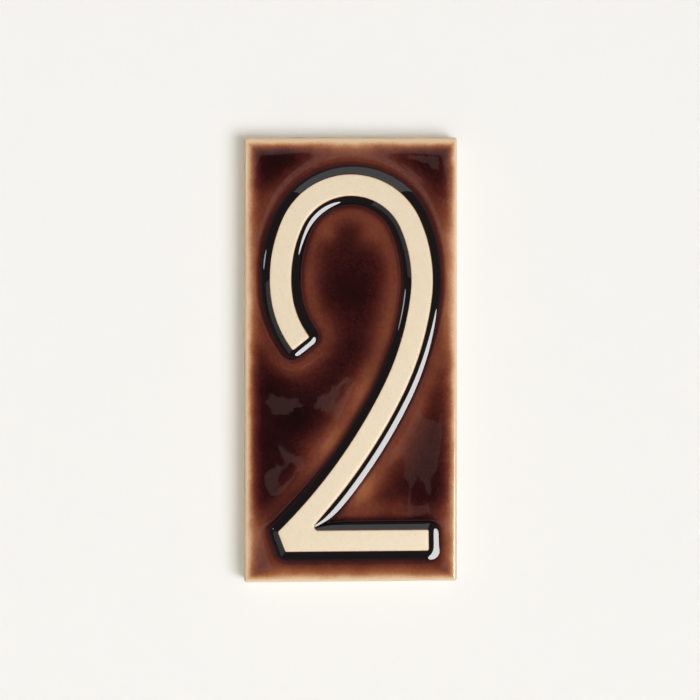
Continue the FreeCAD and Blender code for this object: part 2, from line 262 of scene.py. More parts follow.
# %% Walk round the numeral
notch_angle = angle_of(CENTRES["tail"], NOTCH_PIVOT)
mitre_tip = numeral_corners(POOL_REACH)["notch"]
mitre_angle = angle_of(CENTRES["tail"], mitre_tip)
hook_low_angle = angle_of(CENTRES["hook"], PIVOTS["hook_low"]) % 360
hook_high_angle = angle_of(CENTRES["hook"], PIVOTS["hook_high"]) % 360
cut_angle = angle_of(CENTRES["tail"], PIVOTS["cut_high"])
FOOT_FACES = KILN_RAKE - 90
SHELF_FACES = KILN_RAKE + 90
CUT_FACES = 270 - CUT_SLOPE
HOOK_FACES = HOOK_SLOPE - 90
# The arcs from the foot up to the hook, and the angles at which they meet.
STROKE_ARCS = ("tail", "sweep", "flank", "bow", "arm", "hook")
STROKE_JOINTS = [STARTS[name] for name in STROKE_ARCS[:-1]]

# The foot bar, from its left end round to the notch.
row = start_row(PIVOTS["cut_low"] + heading(FOOT_FACES) * CORNER_ROUND, FOOT_FACES)
row = along_edge(row, PIVOTS["cut_low"], PIVOTS["bar_low"], FOOT_FACES)
row = round_corner(row, "bar_low", FOOT_FACES, KILN_RAKE)
row = along_edge(row, PIVOTS["bar_low"], PIVOTS["bar_high"], KILN_RAKE)
row = round_corner(row, "bar_high", KILN_RAKE, SHELF_FACES)
shelf_start = PIVOTS["bar_high"] + heading(SHELF_FACES) * CORNER_ROUND
shelf_stop = NOTCH_PIVOT - heading(SHELF_FACES) * NOTCH_ROUND
shelf_turn = mitre_tip - heading(SHELF_FACES) * POOL_REACH
legs.append(("edge", shelf_start, shelf_stop, SHELF_FACES))
run(row, shelf_start, shelf_turn)

# The outer side of the stroke, from the notch up and over to the hook.
tail_turn = mitre_tip - heading(mitre_angle) * POOL_REACH
row = start_row(tail_turn, mitre_angle)
row = along_stroke(row, STROKE_ARCS, [mitre_angle, *STROKE_JOINTS, hook_low_angle], 1)

# Round the hook's cut end, and back along the inner side.
row = round_corner(row, "hook_low", hook_low_angle - 360, HOOK_FACES)
row = along_edge(row, PIVOTS["hook_low"], PIVOTS["hook_high"], HOOK_FACES)
row = round_corner(row, "hook_high", HOOK_FACES, hook_high_angle - 180)
row = along_stroke(row, STROKE_ARCS[::-1], [hook_high_angle, *STROKE_JOINTS[::-1], cut_angle], -1)
row = round_corner(row, "cut_high", cut_angle + 180, CUT_FACES)
row = along_edge(row, PIVOTS["cut_high"], PIVOTS["cut_low"], CUT_FACES)
row = round_corner(row, "cut_low", CUT_FACES, FOOT_FACES + 360)
print("The sweep has %d faces" % len(tile.faces))

# %% [markdown]
# ## The acute notch
#
# Over the bar the outline turns inwards. Close to the numeral the rings turn about the notch's own
# pivot. Further out than that pivot there is no room to turn, so the rings from the two sides meet
# in a mitre. The mitre's points are the corners of the grown outlines, which the function above
# gives. A bridge joins them to the two rows, and cuts across it keep its faces as small as the rest.

# %% Turn the notch and mitre it
NOTCH_STEPS = 18
MITRE_STEPS = 15
SEAM_SLACK = 0.1

near = [offset for offset in offsets if offset <= NOTCH_ROUND]
far = [offset for offset in offsets if offset >= NOTCH_ROUND]
row = start_row(shelf_turn, SHELF_FACES, near)
row = run(row, shelf_turn, shelf_stop, MITRE_STEPS)
row = turn(row, NOTCH_PIVOT, notch_angle - SHELF_FACES, NOTCH_STEPS)
turn(row, CENTRES["tail"], mitre_angle - notch_angle, MITRE_STEPS)
legs.append(("arc", NOTCH_PIVOT, NOTCH_ROUND, SHELF_FACES - 180, notch_angle - 180, -1))
legs.append(("arc", CENTRES["tail"], RADII["tail"] + STROKE / 2, notch_angle, mitre_angle, 1))

for point, outward in ((shelf_turn, SHELF_FACES), (tail_turn, mitre_angle)):
    side = start_row(point, outward, far)
    mitre = [tile.verts.new(ground + numeral_corners(offset)["notch"]) for offset in far]
    rails = [item for item in side if isinstance(item, bmesh.types.BMEdge)]
    rails += [tile.edges.new(pair) for pair in zip(mitre, mitre[1:])]
    bridge = bmesh.ops.bridge_loops(tile, edges=rails)
    bmesh.ops.subdivide_edges(tile, edges=bridge["edges"], cuts=MITRE_STEPS - 1, use_grid_fill=True)
bmesh.ops.remove_doubles(tile, verts=tile.verts, dist=TOUCH / 5)
print("With the notch: %d faces" % len(tile.faces))

# %% [markdown]
# ## The slab
#
# The slab is a box. Its front rim and its four corners are rounded more than its back, because the
# mould gives the front its shape and the back is only wiped. The foot of this tile is not quite
# square to its sides: the clay moved a little in the kiln. So the box's lower corners are moved
# before the edges are bevelled.

# %% Make the box and round its edges
RIM_ROUND = 1.3
RIM_SEGMENTS = 8
BACK_ROUND = 0.6
BACK_SEGMENTS = 3

fall = HALF_WIDTH * math.tan(math.radians(KILN_RAKE))
slab = bmesh.ops.create_cube(tile, size=1)["verts"]
bmesh.ops.scale(tile, verts=slab, vec=(2 * HALF_WIDTH, SLAB_DEPTH, 2 * HALF_HEIGHT))
bmesh.ops.translate(tile, verts=slab, vec=(0, -SLAB_DEPTH / 2, 0))
for side in (-1, 1):
    foot_corners = [corner for corner in slab if corner.co.z < 0 < side * corner.co.x]
    bmesh.ops.translate(tile, verts=foot_corners, vec=(0, 0, side * fall))


def round_off(edges, radius, segments):
    """Round the given edges of the tile."""
    bmesh.ops.bevel(
        tile, geom=edges, offset=radius, affect="EDGES", segments=segments, profile=0.5, material=-1,
    )


def lies_at(item, depth):
    """Tell whether every point of an edge or a face lies at a depth from the back."""
    return all(abs(corner.co.y + depth) < TOUCH for corner in item.verts)


slab_edges = {edge for corner in slab for edge in corner.link_edges}
round_off([edge for edge in slab_edges if not lies_at(edge, 0)], RIM_ROUND, RIM_SEGMENTS)
back = next(face for face in tile.faces if lies_at(face, 0))
round_off(list(back.edges), BACK_ROUND, BACK_SEGMENTS)
print("Slab rounded by %.1f mm in front and %.1f mm behind" % (RIM_ROUND, BACK_ROUND))

# %% [markdown]
# ## The back
#
# A tile that is fixed with mortar or glue needs something for it to key into, so such tiles have
# grooves pressed into the back. The back's flat face is cut along the grooves' sides, the strips
# are pushed in, and their bottoms are rounded a little, as a pressing tool leaves them.

# %% Press the keying grooves
GROOVE_COUNT = 6
GROOVE_PITCH = 14.0
GROOVE_WIDTH = 6.0
GROOVE_DEPTH = 1.0
GROOVE_MARGIN = 14.0
GROOVE_ROUND = 0.5


def back_faces():
    """Return the faces of the flat back."""
    return [face for face in tile.faces if lies_at(face, 0) and len(face.verts) > 3]


def cut_faces(faces, point, across):
    """Cut some faces along a plane and return the faces that they have become."""
    geom = list({item for face in faces for item in (face, *face.edges, *face.verts)})
    cut = bmesh.ops.bisect_plane(tile, geom=geom, dist=TOUCH / 4, plane_co=point, plane_no=across)
    return [item for item in cut["geom"] if isinstance(item, bmesh.types.BMFace)]


middles = [GROOVE_PITCH * (index - (GROOVE_COUNT - 1) / 2) for index in range(GROOVE_COUNT)]
groove_top = HALF_HEIGHT - GROOVE_MARGIN
back = back_faces()
for side in (-1, 1):
    back = cut_faces(back, (0, 0, side * groove_top), (0, 0, 1))
    for middle in middles:
        back = cut_faces(back, (middle + side * GROOVE_WIDTH / 2, 0, 0), (1, 0, 0))


def in_groove(face):
    """Tell whether a face of the back lies inside a groove."""
    place = face.calc_center_median()
    near = min(abs(place.x - middle) for middle in middles)
    return near < GROOVE_WIDTH / 2 and abs(place.z) < groove_top


pressed = [face for face in back if in_groove(face)]
bottoms = bmesh.ops.extrude_face_region(tile, geom=pressed)["geom"]
bmesh.ops.delete(tile, geom=pressed, context="FACES_ONLY")
bottom_points = [item for item in bottoms if isinstance(item, bmesh.types.BMVert)]
bmesh.ops.translate(tile, verts=bottom_points, vec=(0, -GROOVE_DEPTH, 0))
rims = {edge for point in bottom_points for edge in point.link_edges if lies_at(edge, GROOVE_DEPTH)}
round_off(list(rims), GROOVE_ROUND, BACK_SEGMENTS)
print("%d grooves, %.0f mm long" % (GROOVE_COUNT, 2 * groove_top))

# %% [markdown]
# ## How far a point is from the numeral
#
# The glaze's height and its colour both depend on how far a point lies from the numeral's edge. The
# walk round the outline left a list of its legs, so the distance is exact: a leg counts for a point
# only where the point lies square to it, and the leg with the least distance wins. Inside the
# numeral the distance is negative.

# %% Measure the distance to the outline
def gap_to_leg(leg, x, z):
    """Return the signed distance from a point to one leg, or nothing if it isn't square to it."""
    if leg[0] == "edge":
        start, stop, outward = leg[1:]
        across, up = x - start.x, z - start.z
        along_x, along_z = stop.x - start.x, stop.z - start.z
        length = math.hypot(along_x, along_z)
        past = (across * along_x + up * along_z) / length
        facing = math.radians(outward)
        gap = across * math.cos(facing) + up * math.sin(facing)
        return gap if -TOUCH <= past <= length + TOUCH else None
    centre, radius, begin, finish, side = leg[1:]
    across, up = x - centre.x, z - centre.z
    past = (math.degrees(math.atan2(up, across)) - min(begin, finish)) % 360
    spare = math.degrees(TOUCH / radius)
    within = past <= abs(finish - begin) + spare or past >= 360 - spare
    return side * (math.hypot(across, up) - radius) if within else None


def gap_to(chain, point):
    """Return the signed distance from a point to the nearest of some legs, or one past all others."""
    gaps = [gap_to_leg(leg, point.x, point.z) for leg in chain]
    return min((gap for gap in gaps if gap is not None), key=abs, default=2 * HALF_HEIGHT)


# The bridge on the curved side is a little straighter than the sweep, so its seam is welded here.
seam = [point for point in tile.verts if abs(gap_to(legs, point.co) - NOTCH_ROUND) < SEAM_SLACK]
bmesh.ops.remove_doubles(tile, verts=seam, dist=SEAM_SLACK)
print("From the tile's middle to the numeral: %.1f mm" % gap_to(legs, Vector((0, 0, 0))))

# %% [markdown]
# ## The ground and the flat top
#
# The slab's front face is taken away. The ring of ground between the rim and the sweep is filled,
# and so is the numeral's flat top. Both fills are coarse, and the glaze is not flat: it sinks towards
# the rim. So the ground is cut into a lattice, which is finer where it nears the rim. The cuts run on
# over the rounded rim, so that no face there has to span many small ones.

# %% Fill the numeral's top and the ground
def chains_between(edges, stops):
    """Split closed loops of edges at some points and return the chains."""
    left, chains = set(edges), []
    while left:
        chain = [left.pop()]
        for edge in chain:
            loose = [corner for corner in edge.verts if corner not in stops]
            onward = {other for corner in loose for other in corner.link_edges} & left
            chain += onward
            left -= onward
        chains.append(chain)
    return chains


def leftmost(chain):
    """Return how far to the right the leftmost point of a chain lies."""
    return min(corner.co.x for edge in chain for corner in edge.verts)


front = [face for face in tile.faces if lies_at(face, SLAB_DEPTH) and face.calc_area() > HALF_WIDTH**2]
halves = cut_faces(front, (0, 0, 0), (1, 0, 0))
bmesh.ops.delete(tile, geom=halves, context="FACES")
open_edges = {edge for edge in tile.edges if edge.is_boundary}
top_edges = [edge for edge in open_edges if gap_to(legs, edge.verts[0].co) < 0]
numeral_top = bmesh.ops.contextual_create(tile, geom=top_edges)["faces"]

# Two edges, over the bow and under the foot, part the ground into a left and a right face.
pool_edges = {edge for edge in open_edges if 0 < gap_to(legs, edge.verts[0].co) < POOL_REACH + TOUCH}
rim_edges = open_edges - pool_edges - set(top_edges)
pool_points = {corner for edge in pool_edges for corner in edge.verts}
rim_points = {corner for edge in rim_edges for corner in edge.verts if abs(corner.co.x) < TOUCH}
bow_point = max(pool_points, key=lambda corner: corner.co.z)
foot_point = min(
    pool_points, key=lambda corner: abs(corner.co.x) + (corner.co.z + FOOT_DROP + POOL_REACH) ** 2
)
ends = {
    bow_point: max(rim_points, key=lambda corner: corner.co.z),
    foot_point: min(rim_points, key=lambda corner: corner.co.z),
}
links = [tile.edges.new(pair) for pair in ends.items()]
pool_chains = sorted(chains_between(pool_edges, ends), key=leftmost)
rim_chains = sorted(chains_between(rim_edges, ends.values()), key=leftmost)
grounds = []
for pool_chain, rim_chain in zip(pool_chains, rim_chains):
    grounds += bmesh.ops.contextual_create(tile, geom=pool_chain + rim_chain + links)["faces"]
print("Still open:", sum(edge.is_boundary for edge in tile.edges))

# %% Cut the ground and the rim into a lattice
LATTICE = 1.6
TOP_LATTICE = 5.0
RIM_CUTS = (1.6, 2.0, 2.5, 3.1, 3.9)
# The way that each side faces, and its distance from the tile's middle.
SIDES = {
    0: HALF_WIDTH, 90: HALF_HEIGHT, 180: HALF_WIDTH,
    270 + KILN_RAKE: HALF_HEIGHT * math.cos(fall / HALF_WIDTH),
}


def gap_to_rim(point, drawn=(0, 0, 0, 0)):
    """Return the distance from a point to the nearest side, or to lines drawn in from the sides."""
    flat = Vector((point.x, 0, point.z))
    gaps = [reach - inset - flat.dot(heading(facing)) for inset, (facing, reach) in zip(drawn, SIDES.items())]
    return max(0, min(gaps))


def on_side(face):
    """Tell whether a face belongs to the rounded rim or to the tile's sides."""
    place = face.calc_center_median()
    return place.y < -BACK_ROUND - TOUCH and gap_to_rim(place) < RIM_ROUND


def marks(reach, spacing):
    """Return evenly spaced places from one side of the tile to the other."""
    count = math.ceil(reach / spacing)
    return [reach * step / count for step in range(-count, count + 1)]


sheet = grounds + [face for face in tile.faces if on_side(face)]
for place in marks(HALF_WIDTH - RIM_CUTS[-1], LATTICE):
    sheet = cut_faces(sheet, (place, 0, 0), (1, 0, 0))
for place in marks(HALF_HEIGHT - RIM_CUTS[-1], LATTICE):
    sheet = cut_faces(sheet, (0, 0, place), (0, 0, 1))
for place in marks(HALF_WIDTH, TOP_LATTICE):
    numeral_top = cut_faces(numeral_top, (place, 0, 0), (1, 0, 0))
for place in marks(HALF_HEIGHT, TOP_LATTICE):
    numeral_top = cut_faces(numeral_top, (0, 0, place), (0, 0, 1))
for facing, reach in SIDES.items():
    for inset in RIM_CUTS:
        sheet = cut_faces(sheet, heading(facing) * (reach - inset), heading(facing))
print("The lattice has %d faces" % len(sheet))

# %% [markdown]
# ## The height of the glaze
#
# Molten glaze wets the clay and creeps up the numeral's wall, so its surface is a smooth curve that
# is steep at the crest and level a few millimetres out. Against a straight wall that curve is an
# exponential, and that serves as a first guess everywhere. Where two walls face each other over the
# notch, their two curves add up, and the pool between them is nearly full.

# %% Guess the height at a point
CREST_ROUND = 0.75
CREST_DROP = 0.32
# Over this distance from a wall, the glaze falls to about a third of its height.
MENISCUS = 2.33

climb = RELIEF - CREST_DROP
sharp_notch = numeral_corners(0)["notch"]
sharp_angle = angle_of(CENTRES["tail"], sharp_notch)
stroke_wall = [leg for leg in legs if leg[0] == "arc" and leg[-1] == 1 and leg[2] > CORNER_ROUND]
stroke_wall.append(("arc", CENTRES["tail"], RADII["tail"] + STROKE / 2, sharp_angle, mitre_angle, 1))
shelf_wall = [("edge", shelf_start, sharp_notch, SHELF_FACES)]


def creep(gap):
    """Return how far up a wall the glaze stands at a distance in front of it, as a share of the wall."""
    return math.exp(-gap / MENISCUS) if gap >= 0 else 0


def glaze_height(point):
    """Return the height of the tile's surface above the open ground at a point."""
    gap = gap_to(legs, point)
    if gap < 0:
        return RELIEF - CREST_DROP * max(0, 1 + gap / CREST_ROUND) ** 2
    one, other = (creep(gap_to(wall, point)) for wall in (stroke_wall, shelf_wall))
    return climb * max(creep(gap), (one + other) / (1 + one * other))


print("A millimetre from a wall the glaze stands %.2f mm high" % (climb * creep(1)))

# %% [markdown]
# ## Letting the glaze settle
#
# Round a corner the exponential is only a guess. A liquid skin at rest bends upwards everywhere in
# proportion to its height, and that gives one linear equation for each point of the mesh. The mesh's
# own triangles supply the weights. Conjugate gradients suit such a large and sparse set, because all
# that they ask for is the pull on each point.

# %% Let the skin settle
SETTLE_SWEEPS = 400
SKIN_REACH = 10
LEAST_AREA = 1e-6
LEAST_SHARE = 1e-9

# The layers come first, because a new layer ends every reference to the mesh's points.
numeral_gap = tile.verts.layers.float.new("numeral_gap")
rim_gap = tile.verts.layers.float.new("rim_gap")
glaze_share = tile.verts.layers.float.new("glaze_share")


def settle(points, start, held):
    """Return the height at which a liquid skin comes to rest around held points.

    The skin obeys curvature = height / MENISCUS**2, with the usual cotangent weights.
    """
    number = {point: place for place, point in enumerate(points)}
    flat = numpy.array([(point.co.x, point.co.z) for point in points])
    corners = [[number.get(loop.vert) for loop in loops] for loops in tile.calc_loop_triangles()]
    corners = numpy.array([three for three in corners if None not in three])
    mass = numpy.zeros(len(points))
    ones, others, weights = [], [], []
    for corner in range(3):
        here, one, other = (corners[:, (corner + step) % 3] for step in range(3))
        to_one, to_other = flat[one] - flat[here], flat[other] - flat[here]
        # This is twice the triangle's area, of which each corner carries a third.
        area = numpy.abs(to_one[:, 0] * to_other[:, 1] - to_one[:, 1] * to_other[:, 0])
        mass += numpy.bincount(here, area / 6, len(points))
        ones.append(one)
        others.append(other)
        weights.append((to_one * to_other).sum(axis=1) / numpy.maximum(area, LEAST_AREA) / 2)
    one, other, weight = (numpy.concatenate(parts) for parts in (ones, others, weights))

    def pull(height):
        """Return how hard each free point is pulled from where it stands."""
        flow = weight * (height[one] - height[other])
        total = numpy.bincount(one, flow, len(points)) - numpy.bincount(other, flow, len(points))
        return (total + mass * height / MENISCUS**2) * ~held

    height = start.copy()
    rest = -pull(height)
    step = rest.copy()
    for sweep in range(SETTLE_SWEEPS):
        pulled = pull(step)
        share = (rest @ rest) / (step @ pulled)
        height += share * step
        left = rest - share * pulled
        step = left + (left @ left) / (rest @ rest) * step
        rest = left
    print("The greatest pull left on a point is", float(numpy.abs(rest).max()))
    return height


skin_points = [point for point in tile.verts if abs(point.co.y + SLAB_DEPTH) < TOUCH]
true_gaps = numpy.array([gap_to(legs, point.co) for point in skin_points])
guess = [climb if gap < TOUCH else glaze_height(point.co) for point, gap in zip(skin_points, true_gaps)]
settled = settle(skin_points, numpy.array(guess), true_gaps < TOUCH)
# Where the skin rounds a corner it lies lower, as if the numeral were farther off.
skin_gap = -MENISCUS * numpy.log(numpy.maximum(settled / climb, LEAST_SHARE))
extra_gap = (skin_gap - true_gaps) * numpy.clip(1 - true_gaps / SKIN_REACH, 0, 1) * (true_gaps > TOUCH)
skin = {point: (high, extra) for point, high, extra in zip(skin_points, settled, extra_gap)}

# %% [markdown]
# ## Raising the skin
#
# Towards the rim the glaze thins, as it drains away from every edge, and the surface falls. The flat
# mesh is still at hand here, so each point also stores what its colour will need later: how far it is
# from the numeral, how far it is from the rim, and how much glaze ran to that place.

# %% Store the distances and set the height of every point
RIM_FALL = 0.35
RIM_REACH = 2.0
# How far the glaze has drawn in from the right, top, left and bottom sides, more than it usually has.
GLAZE_DRAWN = (-0.3, 1.1, 0.35, 0)
# Painted light: the glaze's colour is shifted a fraction of a millimetre towards the lower right. So the bare
# cream runs out over the crest on the lower right as the key's highlight there, and the amber reaches onto
# the crest on the upper left, the side away from the key.
PAINTED_HIGHLIGHT_SHIFT = Vector((0.28, 0, -0.15))
GLAZE_SLACK = 0.06
# Where the glaze ran thin or deep: the place, across and up, the reach in mm, and how much more.
GLAZE_RUNS = (
    (-44, 50, 17, 0.45), (-44, 20, 14, 0.2), (-40, -10, 12, 0.25), (-42, -40, 14, 0.25), (-36, -70, 16, 0.3),
    (-30, 96, 16, 0.3), (38, 92, 20, 0.2), (-8, -42, 14, -0.32), (10, -18, 13, -0.28), (21, 12, 10, -0.2),
    (6, -62, 10, -0.45), (22, -44, 12, -0.15), (34, -73, 8, 0.55), (18, -76, 6, 0.3), (0, -102, 30, 0.2),
    (44, -95, 16, 0.3), (30, 35, 9, -0.2), (-12, 8, 10, 0.15), (-10, 60, 4.5, -0.28), (8, 59, 6.5, -0.32),
    (-24, -28, 9, 0.35), (0, 30, 9, 0.2),
)


def share_of_glaze(point):
    """Return how much glaze lies at a point, where 1 is the usual amount."""
    share = 1
    for x, z, reach, amount in GLAZE_RUNS:
        share += amount * math.exp(-((point.x - x) ** 2 + (point.z - z) ** 2) / reach**2)
    return share


for point in list(tile.verts):
    high, extra = skin.get(point, (0, 0))
    # The distance for the colour is read from a shifted point, which paints the key's highlight on the
    # lower-right crest.
    point[numeral_gap] = gap_to(legs, point.co - PAINTED_HIGHLIGHT_SHIFT) + GLAZE_SLACK + float(extra)
    point[rim_gap] = gap_to_rim(point.co, GLAZE_DRAWN)
    point[glaze_share] = share_of_glaze(point.co)
    front_share = min(1, -point.co.y / SLAB_DEPTH)
    sunk = RIM_FALL * front_share**2 * math.exp(-gap_to_rim(point.co) / RIM_REACH)
    raised = 0
    if point in skin:
        raised = float(high) if gap_to(legs, point.co) > TOUCH else glaze_height(point.co)
    point.co.y += sunk - raised
bmesh.ops.recalc_face_normals(tile, faces=tile.faces)
print("Highest point: %.2f mm over the ground" % (-SLAB_DEPTH - min(point.co.y for point in tile.verts)))

# %% [markdown]
# ## From bench to scene
#
# The mesh is scaled from millimetres to metres, because the frame is in metres, and becomes one
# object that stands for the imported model's tile. All of it shades smooth, apart from the edges of the
# grooves, which a press leaves crisp.

# %% Make the tile's object
SHARP_TURN = math.radians(40)

for edge in tile.edges:
    edge.smooth = edge.calc_face_angle(0) < SHARP_TURN
for face in tile.faces:
    face.smooth = True
bmesh.ops.scale(tile, verts=tile.verts, vec=(MM, MM, MM))
mesh = bpy.data.meshes.new("glazed_number_tile")
tile.to_mesh(mesh)
tile.free()
glazed_tile = bpy.data.objects.new("glazed_number_tile", mesh)
bpy.context.scene.collection.objects.link(glazed_tile)
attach(glazed_tile, "root")
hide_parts("number_tile")
triangles = sum(len(polygon.vertices) - 2 for polygon in mesh.polygons)
print("The tile has %d triangles" % triangles)

# %% [markdown]
# ## How the finish is built up
#
# The tile is cream stoneware clay under a brown glaze that light passes through. What one sees is the
# clay's own colour, darkened by the depth of glaze that the light crosses twice. So the material is
# worked out the same way: first a depth for every point, and then a colour for every depth. The
# depth comes from the two distances stored on the mesh: it is great against the numeral, thin on
# every edge, least on a line just outside the pool, and full in the open ground.

# %% Helpers for colours and nodes
def linear(hex_colour):
    """Turn an sRGB hex colour into linear red, green, blue and alpha."""
    channels = [int(hex_colour[place:place + 2], 16) / 255 for place in (1, 3, 5)]
    return [c / 12.92 if c <= 0.04045 else ((c + 0.055) / 1.055) ** 2.4 for c in channels] + [1]


def add_node(tree, kind, settings=None, inputs=None):
    """Add a node to a tree with its settings, and set or link its inputs by name or number."""
    node = tree.nodes.new(kind)
    for name, value in (settings or {}).items():
        setattr(node, name, value)
    for name, value in (inputs or {}).items():
        if isinstance(value, bpy.types.NodeSocket):
            tree.links.new(value, node.inputs[name])
        else:
            node.inputs[name].default_value = value
    return node


def new_material(name):
    """Return a new material that is built from nodes."""
    material = bpy.data.materials.new(name)
    material.use_nodes = True
    return material


def fill_ramp(node, stops, reach, interpolation="LINEAR"):
    """Give a colour ramp its stops, as pairs of a place and a colour or a grey value."""
    ramp = node.color_ramp
    ramp.interpolation = interpolation
    while len(ramp.elements) < len(stops):
        ramp.elements.new(1)
    for element, (place, shade) in zip(ramp.elements, stops):
        element.position = place / reach
    for element, (place, shade) in zip(ramp.elements, stops):
        element.color = linear(shade) if isinstance(shade, str) else (shade, shade, shade, 1)


# %% [markdown]
# ## The depth of the glaze
#
# Depths here are optical: one unit darkens red light to a third. The stops are places in millimetres
# from the numeral or from the rim.

# %% Settings of the glaze's depth
FULL_DEPTH = 6.0
OPEN_DEPTH = 3.3
POOL_DEPTH = 4.6
# Share of the open depth at a distance from the numeral: glaze was drawn away into the pool.
OPEN_STOPS = (
    (0, 0.56), (7.5, 0.55), (9, 0.54), (11, 0.59), (13.5, 0.71), (16.5, 0.85), (20, 0.94), (24, 1.0),
)
# Share of the pool's own depth.
POOL_STOPS = (
    (0, 1.0), (3.0, 0.95), (3.6, 0.66), (4.2, 0.37), (4.8, 0.26), (5.3, 0.19), (5.9, 0.12), (6.6, 0.04),
    (7.4, 0),
)
# Share of the depth at a distance from the rim: glaze drains from every edge.
RIM_STOPS = (
    (0, 0.02), (1.2, 0.02), (1.8, 0.06), (2.3, 0.105), (2.8, 0.18), (3.8, 0.34), (4.8, 0.5),
    (5.8, 0.63), (7.3, 0.79), (8.3, 0.87), (10, 0.95), (13, 1.0),
)
# How far the edges of the pool and of the rim wander, and how feathery the rim is, in mm.
POOL_WANDER, RIM_WANDER, RIM_FEATHER = 0.7, 0.9, 0.5
# How much the open glaze clouds over, in broad clouds and in fine ones, as a share of its depth.
BROAD_CLOUDS, FINE_CLOUDS = 0.2, 0.16
# How fast the glaze deepens from the crest, in shares a millimetre, and what it has at the crest.
CREST_RISE, CREST_START, CREST_BLEND = 1.5, 0.07, 0.1
LEAST_DEPTH = 0.05
print("The pool against the numeral is %.1f deep, the open ground %.1f" % (POOL_DEPTH, OPEN_DEPTH))

# %% Work out the depth of the glaze
glazed_clay = new_material("brown_glaze_on_stoneware")
clay = glazed_clay.node_tree
shader = clay.nodes["Principled BSDF"]
place = add_node(clay, "ShaderNodeTexCoord").outputs["Object"]
gap, rim, runs = (
    add_node(clay, "ShaderNodeAttribute", {"attribute_name": name}).outputs["Fac"]
    for name in ("numeral_gap", "rim_gap", "glaze_share")
)


def calculate(operation, *values, clamp=False):
    """Add a calculation on one, two or three numbers and return its result."""
    settings = {"operation": operation, "use_clamp": clamp}
    return add_node(clay, "ShaderNodeMath", settings, dict(enumerate(values))).outputs[0]


def share_at(distance, stops):
    """Read a share off a list of stops at a distance in millimetres."""
    reach = stops[-1][0]
    ramp = add_node(clay, "ShaderNodeValToRGB", inputs={"Fac": calculate("DIVIDE", distance, reach)})
    fill_ramp(ramp, stops, reach, "CARDINAL")
    return ramp.outputs["Color"]


def cloud(grain, detail=2):
    """Return a soft noise from 0 to 1 whose clouds are about as wide as the grain, in millimetres."""
    inputs = {"Vector": place, "Scale": 1 / (grain * MM), "Detail": detail}
    return add_node(clay, "ShaderNodeTexNoise", inputs=inputs).outputs["Fac"]


def wander(value, noise_value, reach):
    """Move a value up and down by up to about a reach, as a noise says."""
    centred = calculate("SUBTRACT", noise_value, 0.5)
    return calculate("MULTIPLY_ADD", centred, 2 * reach, value)


# The edges of the pool and of the rim wander a little, and the rim's edge is feathery.
ragged_gap = wander(gap, cloud(7), POOL_WANDER)
ragged_rim = wander(wander(rim, cloud(9), RIM_WANDER), cloud(0.9, 3), RIM_FEATHER)
cloudy = wander(wander(1, cloud(18, 3), BROAD_CLOUDS), cloud(1.4, 4), FINE_CLOUDS)
open_depth = calculate("MULTIPLY", share_at(ragged_gap, OPEN_STOPS), OPEN_DEPTH)
for share in (cloudy, runs, share_at(ragged_rim, RIM_STOPS)):
    open_depth = calculate("MULTIPLY", open_depth, share)
pool_depth = calculate("MULTIPLY", share_at(gap, POOL_STOPS), POOL_DEPTH)
# Over the crest the glaze thins to nearly nothing within half a millimetre.
crest = calculate("MULTIPLY_ADD", gap, CREST_RISE, CREST_START, clamp=True)
crest = calculate("SMOOTH_MIN", crest, 1, CREST_BLEND)
depth = calculate("MULTIPLY_ADD", calculate("ADD", open_depth, pool_depth), crest, LEAST_DEPTH)
print("The depth is worked out by %d nodes" % len(clay.nodes))

# %% [markdown]
# ## The colour of the glaze
#
# An iron glaze lets red through best and blue worst. So as it deepens it turns from cream through
# tan, amber and red-brown to a brown that is nearly black.

# %% Turn the depth into colour
DEPTH_COLOURS = (
    (0, "#E6CFB0"), (0.1, "#E1C3A0"), (0.21, "#D6B089"), (0.5, "#BC8661"), (0.94, "#9A5C3C"),
    (1.56, "#743D2B"), (2.1, "#5A2A20"), (2.5, "#49201A"), (3.0, "#381614"), (3.4, "#2C1011"),
    (4.5, "#180A0B"), (FULL_DEPTH, "#0C0607"),
)
CLAY_TONES = ("#E1CEAE", "#E7D6B9")
SPECK = "#9C8263"
# The grain of the specks in mm, the level of the noise above which one shows, and how strongly.
SPECK_GRAIN, SPECK_LEVEL, SPECK_STRENGTH = 0.6, 0.72, 0.6
SIDE_CLAY = "#B3A48C"


def blend(share, one, other):
    """Mix two colours, where a share of 0 gives the first and a share of 1 gives the second."""
    inputs = {"Factor": share, "A": one, "B": other}
    return add_node(clay, "ShaderNodeMix", {"data_type": "RGBA"}, inputs).outputs["Result"]


glaze_ramp = add_node(clay, "ShaderNodeValToRGB", inputs={"Fac": calculate("DIVIDE", depth, FULL_DEPTH)})
fill_ramp(glaze_ramp, DEPTH_COLOURS, FULL_DEPTH)

# The bare clay is an even cream, with fine specks of iron and grog.
clay_tone = blend(cloud(2.5, 4), linear(CLAY_TONES[0]), linear(CLAY_TONES[1]))
speck = calculate("GREATER_THAN", cloud(SPECK_GRAIN, 1), SPECK_LEVEL)
bare = blend(calculate("MULTIPLY", speck, SPECK_STRENGTH), clay_tone, linear(SPECK))

# %% Put the glaze over the clay
# The glaze ends this far inside the numeral's outline, and on the sides this far from the back.
GLAZE_EDGE = -0.28
SIDE_EDGE = 6.6
FACE_WANDER, SIDE_WANDER = 0.12, 1.0
EDGE_SHARPNESS = 8
CLAY_ROUGHNESS, GLAZE_ROUGHNESS = 0.37, 0.015
GLAZE_IOR = 1.5
# The height of the glaze's ripples and of the clay's grit, in mm.
FINE_RIPPLES, BROAD_RIPPLES, GRIT = 0.001, 0.02, 0.03

depthwise = add_node(clay, "ShaderNodeSeparateXYZ", inputs={"Vector": place}).outputs["Y"]
from_face = wander(calculate("SUBTRACT", gap, GLAZE_EDGE), cloud(1.2, 3), FACE_WANDER)
from_side = wander(calculate("MULTIPLY_ADD", depthwise, -1 / MM, -SIDE_EDGE), cloud(5, 3), SIDE_WANDER)
covered = calculate("MULTIPLY", calculate("MINIMUM", from_face, from_side), EDGE_SHARPNESS, clamp=True)
